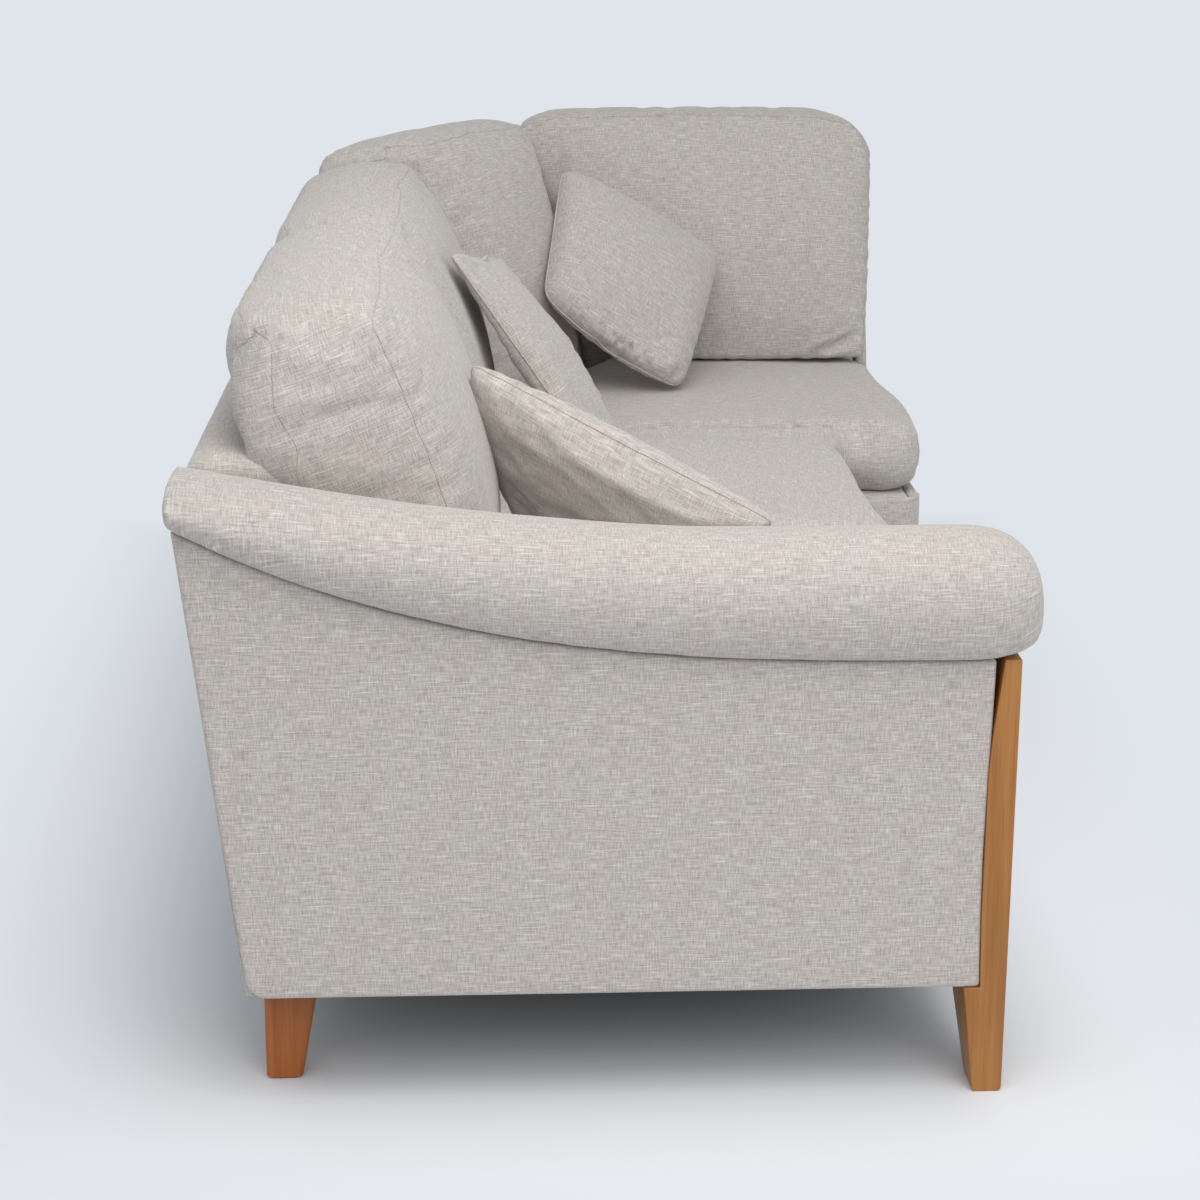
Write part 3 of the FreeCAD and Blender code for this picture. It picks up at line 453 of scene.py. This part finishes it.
def inflate(bm, pins, s):
    mesh = bpy.data.meshes.new("working")
    bm.to_mesh(mesh)
    bm.free()
    soft = bpy.data.objects.new("working", mesh)
    scene.collection.objects.link(soft)
    if pins:
        group = soft.vertex_groups.new(name="seam")
        group.add(pins, 1.0, "REPLACE")
    cloth = soft.modifiers.new("cloth", "CLOTH")
    for key, value in clothSet.items():
        setattr(cloth.settings, key, value)
    cloth.settings.bending_stiffness = s["stiff"]
    cloth.settings.use_pressure = True
    cloth.settings.uniform_pressure_force = s["pressure"]
    cloth.settings.shrink_min = -s["slack"]
    cloth.settings.effector_weights.gravity = 0.0
    cloth.collision_settings.use_collision = False
    if pins:
        cloth.settings.vertex_group_mass = "seam"
    cloth.point_cache.frame_start = 1
    cloth.point_cache.frame_end = clothFrames
    rest = [v.co.copy() for v in mesh.vertices]
    for step in range(1, clothFrames + 1):
        scene.frame_set(step)
    made = bpy.data.meshes.new_from_object(
        soft.evaluated_get(bpy.context.evaluated_depsgraph_get()))
    for vert, start in zip(made.vertices, rest):                        # cap the movement
        move = vert.co - start
        if move.length > s["cap"]:
            vert.co = start + move * (s["cap"] / move.length)
    out = bmesh.new()
    out.from_mesh(made)
    bpy.data.objects.remove(soft)
    bpy.data.meshes.remove(made)
    scene.frame_set(1)
    out.normal_update()
    return out


def soften(bm, times):
    for _ in range(times):
        bmesh.ops.smooth_vert(bm, verts=bm.verts, factor=0.5, use_axis_x=True, use_axis_y=True,
                              use_axis_z=True)
    bm.normal_update()


def easeOut(d, width):
    share = min(d / width, 1.0)
    return (1.0 - share * share) ** 2


# a drawn-in crease (start, end, half width, depth) with a slight rise along each side of it
creaseSet = dict(ends=0.08, reach=2.0, rise=0.35, riseAt=1.3, riseWidth=0.7)


def crease(bm, folds):
    s = creaseSet
    for start, end, width, depth in folds:
        a = Vector(start)
        run = Vector(end) - a
        for vert in bm.verts:
            share = max(0.0, min(1.0, (vert.co - a).dot(run) / run.length_squared))
            d = (vert.co - a - run * share).length
            if d < s["reach"] * width:
                along = min(max(share, s["ends"]), 1.0 - s["ends"])
                fall = math.sin(math.pi * along) ** 0.5
                beside = easeOut(abs(d - s["riseAt"] * width), width * s["riseWidth"])
                vert.co -= vert.normal * depth * fall * easeOut(d, width)
                vert.co += vert.normal * depth * s["rise"] * fall * beside
    bm.normal_update()


# seat and back cushions: the CAD form rounded, filled and kept to it, with seams and creases;
# rests are sides that press on a neighbour, free ones may swell, swells are (middle, reach, move)
cushionBase = dict(voxel=0.009, shrink=0.002, smooth=2, pressure=4.0, slack=0.02, stiff=0.6,
                   cap=0.022, pinReach=1.2, proud=0.004, restGap=0.0006, restFacing=0.75,
                   groove=0.0018, reach=0.010, pucker=0.0009, puckerReach=3.0, ripple=0.032,
                   wander=4.0, wanderScale=14.0, wave=0.0012, waveScale=9.0, thread=0.0007,
                   least=0.5, fill=0.7, rests=[], free=[], swells=[], folds=[])


def cushion(node, turn, panel, **changes):
    s = dict(cushionBase, **changes)
    cad = cadCopy(node)
    axis = turn @ Vector(panel)
    skin = BVHTree.FromBMesh(cad)
    lines = [evenly(line, seamStep) for line in seamLines(cad, axis, s["least"])]
    seam = KDTree(max(sum(len(line) for line in lines), 1))
    lengths = []
    for line in lines:
        for i, p in enumerate(line):
            seam.insert(p, len(lengths))
            lengths.append(i * seamStep)
    seam.balance()
    bm = modified(cad, "REMESH", mode="VOXEL", voxel_size=s["voxel"])
    for vert in bm.verts:
        vert.co -= vert.normal * s["shrink"]
    soften(bm, s["smooth"])
    pinned = s["voxel"] * s["pinReach"]
    pins = [v.index for v in bm.verts if lines and seam.find(v.co)[2] < pinned]
    bm = inflate(bm, pins, s)
    soften(bm, 1)
    bm = modified(bm, "SUBSURF", levels=1, render_levels=1)
    rests = [turn @ Vector(r) for r in s["rests"]]
    for vert in bm.verts:                                               # keep to the CAD solid
        spot, normal, _, _ = skin.find_nearest(vert.co)
        out = (vert.co - spot).dot(normal)
        pressed = any(normal.dot(r) > s["restFacing"] for r in rests)
        limit = -s["restGap"] if pressed else s["proud"]
        for way, more in s["free"]:
            limit += more * max(normal.dot(turn @ Vector(way)), 0.0)
        if out > limit:
            vert.co -= normal * (out - limit)
        for middle, width, move in s["swells"]:
            vert.co += Vector(move) * easeOut((vert.co - Vector(middle)).length, width)
    bm.normal_update()
    wide = s["puckerReach"] * s["reach"]
    for vert in bm.verts:                                               # seams and loose cloth
        move = s["wave"] * noise.noise(vert.co * s["waveScale"])
        if lines:
            _, index, d = seam.find(vert.co)
            if d < wide:
                phase = 2.0 * math.pi * lengths[index] / s["ripple"]
                phase += s["wander"] * noise.noise(vert.co * s["wanderScale"])
                move += s["pucker"] * math.sin(phase) * easeOut(d, wide)
                move -= s["groove"] * easeOut(d, s["reach"])
        vert.co += vert.normal * move
    bm.normal_update()
    crease(bm, s["folds"])
    weaveMap(bm, turn)
    surface = BVHTree.FromBMesh(bm)
    piece = newPiece(node + "_soft", bm, linen)
    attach(piece, node + "_body")
    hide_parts(node)
    if lines:
        stitch(node + "_seam", lines, surface, s["thread"], node + "_body", turn, seamShadeLinen)
    print("cushion", node, len(piece.data.polygons), "faces,", len(lines), "seams")


# seam cord laid in the groove; a line whose ends are closer than join is closed
stitchSet = dict(join=0.02, rounds=8, rise=0.1)


def stitch(name, lines, surface, radius, body, turn, material):
    data = bpy.data.curves.new(name, "CURVE")
    data.dimensions = "3D"
    data.bevel_depth = radius
    data.bevel_resolution = 1
    data.use_fill_caps = True
    for line in lines:
        closed = (line[0] - line[-1]).length < stitchSet["join"]
        spline = data.splines.new("POLY")
        spline.points.add(len(line) - 1)
        spline.use_cyclic_u = closed
        path = [surface.find_nearest(p)[0] for p in line]
        for _ in range(stitchSet["rounds"]):                            # run the cord smoothly
            inner = [(a + b * 2.0 + c) / 4.0 for a, b, c in zip(path, path[1:], path[2:])]
            path = path[:1] + inner + path[-1:]
        for point, p in zip(spline.points, path):
            spot, normal, _, _ = surface.find_nearest(p)
            point.co = (*(spot + normal * radius * stitchSet["rise"]), 1)
    curve = bpy.data.objects.new(name + "Curve", data)
    scene.collection.objects.link(curve)
    mesh = bpy.data.meshes.new_from_object(
        curve.evaluated_get(bpy.context.evaluated_depsgraph_get()))
    bpy.data.objects.remove(curve)
    bm = bmesh.new()
    bm.from_mesh(mesh)
    bpy.data.meshes.remove(mesh)
    bmesh.ops.recalc_face_normals(bm, faces=bm.faces)
    for layer in list(bm.loops.layers.uv.values()):
        bm.loops.layers.uv.remove(layer)
    weaveMap(bm, turn)
    piece = newPiece(name, bm, material)
    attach(piece, body)


# directions of the three stretches of the back, and the lean of its cushions
level = Matrix.Identity(3)
turned = Matrix.Rotation(math.radians(-30.0), 3, "Z")
facing = Matrix.Rotation(math.radians(-90.0), 3, "Z")
lean = Matrix.Rotation(math.radians(-20.2), 3, "Y")

seatRests = [(0, 0, -1), (-1, 0, 0)]
# folds of the cushions; one of negative depth is raised
seatEnd = [((-0.15, 0.2585, 0.458), (0.46, 0.2585, 0.458), 0.05, -0.014)]
for node, folds in dict(seat_cushion_1=[], seat_cushion_2=seatEnd).items():
    cushion(node, level, (0, 1, 0), least=0.7, rests=seatRests + [(0, 1, 0), (0, -1, 0)],
            fill=0.75, folds=folds)
cushion("corner_seat_cushion", facing, (0, 1, 0), least=0.9, rests=seatRests, fill=0.75,
        swells=[((0.480, 0.500, 0.455), 0.30, (0.012, 0.0, 0.008))])

backRests = [(-1, 0, 0), (0, 0, -1), (0, 1, 0), (0, -1, 0)]
meeting = [((-0.455, -0.2676, 0.835), (-0.285, -0.2676, 0.868), 0.022, 0.010),
           ((-0.285, -0.2676, 0.868), (-0.190, -0.2676, 0.690), 0.022, 0.007)]
endFolds = [((-0.408, -0.955, 0.818), (-0.400, -0.962, 0.774), 0.009, 0.007),
            ((-0.400, -0.962, 0.776), (-0.355, -0.960, 0.670), 0.010, 0.003),
            ((-0.390, -0.962, 0.781), (-0.285, -0.962, 0.785), 0.020, 0.005)]
cushion("back_cushion_1", lean, (1, 0, 0), rests=[(0, 0, -1), (0, 1, 0)],
        free=[((0, -1, 0), 0.014)],
        swells=[((-0.370, -0.950, 0.665), 0.17, (-0.064, 0.0, 0.0)),
                ((-0.390, -0.960, 0.700), 0.16, (0.0, -0.022, 0.0))], folds=endFolds + meeting)
cushion("back_cushion_2", lean, (1, 0, 0), rests=backRests, folds=meeting)
cushion("diagonal_back_cushion", turned @ lean, (1, 0, 0), rests=backRests)
farFolds = [((0.474, 0.781, 0.512), (0.391, 0.770, 0.478), 0.013, 0.006)]
cushion("far_back_cushion", facing @ lean, (1, 0, 0), rests=backRests, folds=farFolds)


# scatter cushions: two sheets joined at their edge and filled, so their corners stay pointed;
# near and away are how far each sheet stands off the middle, bow and lift bend the sides outwards
pillowSet = dict(cells=44, near=0.058, away=0.052, bow=(0.0, 0.0), lift=(0.0, 0.0), full=0.38,
                 blunt=0.025, bluntFall=6, pressure=2.0, slack=0.004, stiff=0.5, cap=0.012,
                 pinned=0.003, proud=0.022, pucker=0.0010, ripple=0.034, reach=0.055,
                 wander=5.0, wanderScale=11.0, wave=0.0012, waveScale=10.0, still=0.01,
                 thread=0.0016, folds=[])
cornerReach = 0.010                                                     # round a CAD corner


def pillowCorner(points, way):
    best = max(points, key=way.dot)
    close = [p for p in points if (p - best).length < cornerReach]
    return sum(close, Vector()) / len(close)


def pillow(node, across, down, s):
    cad = cadCopy(node)
    skin = BVHTree.FromBMesh(cad)
    points = [v.co.copy() for v in cad.verts]
    cad.free()
    u = Vector(across).normalized()
    v = Vector(down).normalized()
    topLeft, topRight, lowRight, lowLeft = [pillowCorner(points, u * a + v * b)
                                            for a, b in ((-1, -1), (1, -1), (1, 1), (-1, 1))]
    n = (topRight - topLeft).cross(lowLeft - topLeft).normalized()
    wide = (topRight - topLeft).length
    tall = (lowLeft - topLeft).length
    middle = (topLeft + topRight + lowRight + lowLeft) / 4.0
    bm = bmesh.new()
    bmesh.ops.create_grid(bm, x_segments=s["cells"], y_segments=s["cells"], size=0.5)
    layer = bm.loops.layers.uv.new("weave")
    for face in bm.faces:
        for loop in face.loops:
            loop[layer].uv = (loop.vert.co.x * wide, loop.vert.co.y * tall)
    copied = bmesh.ops.duplicate(bm, geom=bm.verts[:] + bm.edges[:] + bm.faces[:])["geom"]
    under = set(g for g in copied if isinstance(g, bmesh.types.BMVert))
    bmesh.ops.reverse_faces(bm, faces=[g for g in copied if isinstance(g, bmesh.types.BMFace)])
    rim = []
    for vert in bm.verts:
        a, b = vert.co.x + 0.5, vert.co.y + 0.5
        fullA, fullB = 4.0 * a * (1.0 - a), 4.0 * b * (1.0 - b)
        a2 = a + vert.co.x * 2.0 * s["bow"][a > 0.5] * fullB            # sides bowed out
        b2 = b + vert.co.y * 2.0 * s["lift"][b > 0.5] * fullA
        spot = topLeft.lerp(topRight, a2).lerp(lowLeft.lerp(lowRight, a2), b2)
        corner = ((1.0 - fullA) * (1.0 - fullB)) ** s["bluntFall"]
        spot = spot.lerp(middle, s["blunt"] * corner)
        if min(fullA, fullB) < 1e-4 and vert not in under:
            rim.append((math.atan2(b - 0.5, a - 0.5), spot))
        thick = s["near" if vert in under else "away"] * max(fullA * fullB, 0.0) ** s["full"]
        vert.co = spot + n * (-thick if vert in under else thick)
    bmesh.ops.remove_doubles(bm, verts=bm.verts, dist=1e-5)
    bmesh.ops.recalc_face_normals(bm, faces=bm.faces)
    bm.normal_update()
    edge = [spot for _, spot in sorted(rim, key=lambda r: r[0])]
    line = evenly(edge + edge[:1], seamStep)
    seam = KDTree(len(line))
    for i, p in enumerate(line):
        seam.insert(p, i)
    seam.balance()
    bm.verts.index_update()
    pins = [v.index for v in bm.verts if seam.find(v.co)[2] < s["pinned"]]
    bm = inflate(bm, pins, s)
    bm = modified(bm, "SUBSURF", levels=1, render_levels=1)
    for vert in bm.verts:                                               # gathers along the seam
        _, index, d = seam.find(vert.co)
        phase = 2.0 * math.pi * index * seamStep / s["ripple"]
        phase += s["wander"] * noise.noise(vert.co * s["wanderScale"])
        rise = math.sin(math.pi * min(d / s["reach"], 1.0)) ** 2
        move = s["pucker"] * math.sin(phase) * rise
        move += s["wave"] * noise.noise(vert.co * s["waveScale"])
        vert.co += vert.normal * move * min(1.0, d / s["still"])
        spot, normal, _, _ = skin.find_nearest(vert.co)
        out = (vert.co - spot).dot(normal)
        if out > s["proud"]:
            vert.co -= normal * (out - s["proud"])
    bm.normal_update()
    crease(bm, s["folds"])
    surface = BVHTree.FromBMesh(bm)
    piece = newPiece(node + "_soft", bm, linen)
    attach(piece, node + "_body")
    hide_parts(node)
    stitch(node + "_seam", [line], surface, s["thread"], node + "_body", level, linen)
    print("pillow", node, len(piece.data.polygons), "faces")


dogEar = [((0.113, 0.507, 0.537), (0.130, 0.496, 0.505), 0.013, 0.010),
          ((0.034, 0.508, 0.623), (0.113, 0.507, 0.537), 0.026, 0.004)]
# each one's directions across and down, and what differs from pillowSet
pillows = dict(
    scatter_cushion_1=((0.346, -0.135, -0.149), (0.0, 0.1, -0.25), dict(bow=(0.075, 0.02))),
    scatter_cushion_2=((0.0, 1.0, 0.0), (0.2, 0.0, -0.33),
                       dict(near=0.046, away=0.042, full=0.45, proud=0.005)),
    scatter_cushion_3=((0.827, 0.167, -0.536), (-0.189, -0.817, -0.545),
                       dict(near=0.064, away=0.034, proud=0.024, blunt=0.06, lift=(0.0, 0.075),
                            folds=dogEar)))
for node, (across, down, changes) in pillows.items():
    pillow(node, across, down, dict(pillowSet, **changes))


# fixed upholstery: shells remeshed from the CAD form, edges eased, cloth slightly uneven
padSet = dict(voxel=0.009, smooth=4, wave=0.0010, waveScale=6.0, proud=0.0003)


def paddedShell(node, turn, roll=None, **changes):
    s = dict(padSet, **changes)
    cad = cadCopy(node)
    skin = BVHTree.FromBMesh(cad)
    bm = modified(cad, "REMESH", mode="VOXEL", voxel_size=s["voxel"])
    soften(bm, s["smooth"])
    bm = modified(bm, "SUBSURF", levels=1, render_levels=1)
    for vert in bm.verts:
        vert.co += vert.normal * s["wave"] * noise.noise(vert.co * s["waveScale"])
        spot, normal, _, _ = skin.find_nearest(vert.co)
        out = (vert.co - spot).dot(normal)
        if out > s["proud"]:
            vert.co -= normal * (out - s["proud"])
    bm.normal_update()
    weaveMap(bm, turn)
    if roll:
        rollMap(bm, roll)
    piece = newPiece(node + "_shell", bm, linen)
    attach(piece, "frame")
    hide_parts(node)
    print("padded shell", node, len(piece.data.polygons), "faces")


# weave carried round the arm roll: u along it, v round it
def rollMap(bm, roll):
    layer = bm.loops.layers.uv["weave"]
    for face in bm.faces:
        middle = face.calc_center_median()
        base = math.atan2(middle.z - roll["height"], middle.y - roll["middle"])
        for loop in face.loops:
            p = loop.vert.co
            angle = math.atan2(p.z - roll["height"], p.y - roll["middle"])
            angle += 2.0 * math.pi * round((base - angle) / (2.0 * math.pi))
            loop[layer].uv = (p.x, angle * roll["radius"])


armRoll = dict(middle=-1.0335, height=0.585, radius=0.078)
paddedShell("arm_roll", level, armRoll, voxel=0.007, smooth=6)
for node, turn in (("run_back_roll", level), ("corner_side_back_roll", level),
                   ("corner_diagonal_back_roll", turned), ("corner_far_back_roll", facing)):
    paddedShell(node, turn)
for node, turn in (("run_inside_back", level), ("corner_side_inside_back", level),
                   ("corner_diagonal_inside_back", turned), ("corner_far_inside_back", facing)):
    paddedShell(node, turn @ lean, voxel=0.012)

# flat covers, borders, post and legs: bevelled edges, and on cloth a grid of cuts so that it can
# lie unevenly; edges that turn by more than sharp degrees are bevelled, those under flat dissolved
coverSet = dict(cut=0.04, wave=0.0006, waveScale=7.0, sharp=32.0, flat=1.5)


def flatCover(node, turn, material=None, **changes):
    s = dict(coverSet, **changes)
    bm = cadCopy(node)
    bmesh.ops.dissolve_limit(bm, angle_limit=math.radians(s["flat"]), verts=bm.verts,
                             edges=bm.edges)
    sharp = [e for e in bm.edges if len(e.link_faces) == 2
             and e.calc_face_angle(0.0) > math.radians(s["sharp"])]
    bmesh.ops.bevel(bm, geom=sharp, offset=s["edge"], offset_type="OFFSET", segments=4, profile=0.5,
                    affect="EDGES", material=-1, clamp_overlap=True)
    if s["cut"]:
        low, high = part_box(node)
        for axis in range(3):
            way = Vector([1.0 if i == axis else 0.0 for i in range(3)])
            count = int((high[axis] - low[axis]) / s["cut"])
            for i in range(1, count):
                at = low[axis] + (high[axis] - low[axis]) * i / count
                bmesh.ops.bisect_plane(bm, geom=bm.verts[:] + bm.edges[:] + bm.faces[:],
                                       plane_co=way * at, plane_no=way, dist=1e-6)
    bm.normal_update()
    if s["wave"]:
        for vert in bm.verts:
            sunk = 0.5 + 0.5 * noise.noise(vert.co * s["waveScale"])
            vert.co -= vert.normal * s["wave"] * sunk
    bm.normal_update()
    weaveMap(bm, turn)
    piece = newPiece(node + "_cover", bm, material or linen)
    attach(piece, "frame")
    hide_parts(node)
    print("cover", node, len(piece.data.polygons), "faces")


flatCover("arm_outside_panel", level, edge=0.009)
flatCover("arm_inside_panel", level, edge=0.003)
for node, turn in (("run_outside_back", level), ("corner_side_outside_back", level),
                   ("corner_diagonal_outside_back", turned), ("corner_far_outside_back", facing)):
    flatCover(node, turn, edge=0.003)
for node, turn in (("run_front_border", level), ("corner_front_border", facing),
                   ("corner_end_border", level), ("corner_end_cover", level),
                   ("run_deck", level), ("corner_deck", level)):
    flatCover(node, turn, edge=0.008)
flatCover("arm_front_post", level, oak, edge=0.0025, cut=0.0, wave=0.0)
for node in ("leg_arm_rear", "leg_run_rear", "leg_run_front", "leg_corner_side",
             "leg_corner_front", "leg_corner_end", "leg_corner_bend"):
    flatCover(node, level, legOak, edge=0.0015, cut=0.0, wave=0.0, sharp=40.0)

# inner pieces keep their CAD form; timber takes its grain along its longest side
inner = {"webbing": webbing, "lining": lining, "steel": steel}
for node, piece in frame["nodes"].items():
    if piece.hide_render:
        continue
    low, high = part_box(node)
    longest = max(range(3), key=lambda i: high[i] - low[i])
    piece.data.materials.clear()
    piece.data.materials.append(inner.get(slotOf[node], timber["XYZ"[longest]]))
print("inner pieces coloured")

scene.view_settings.view_transform = "Standard"
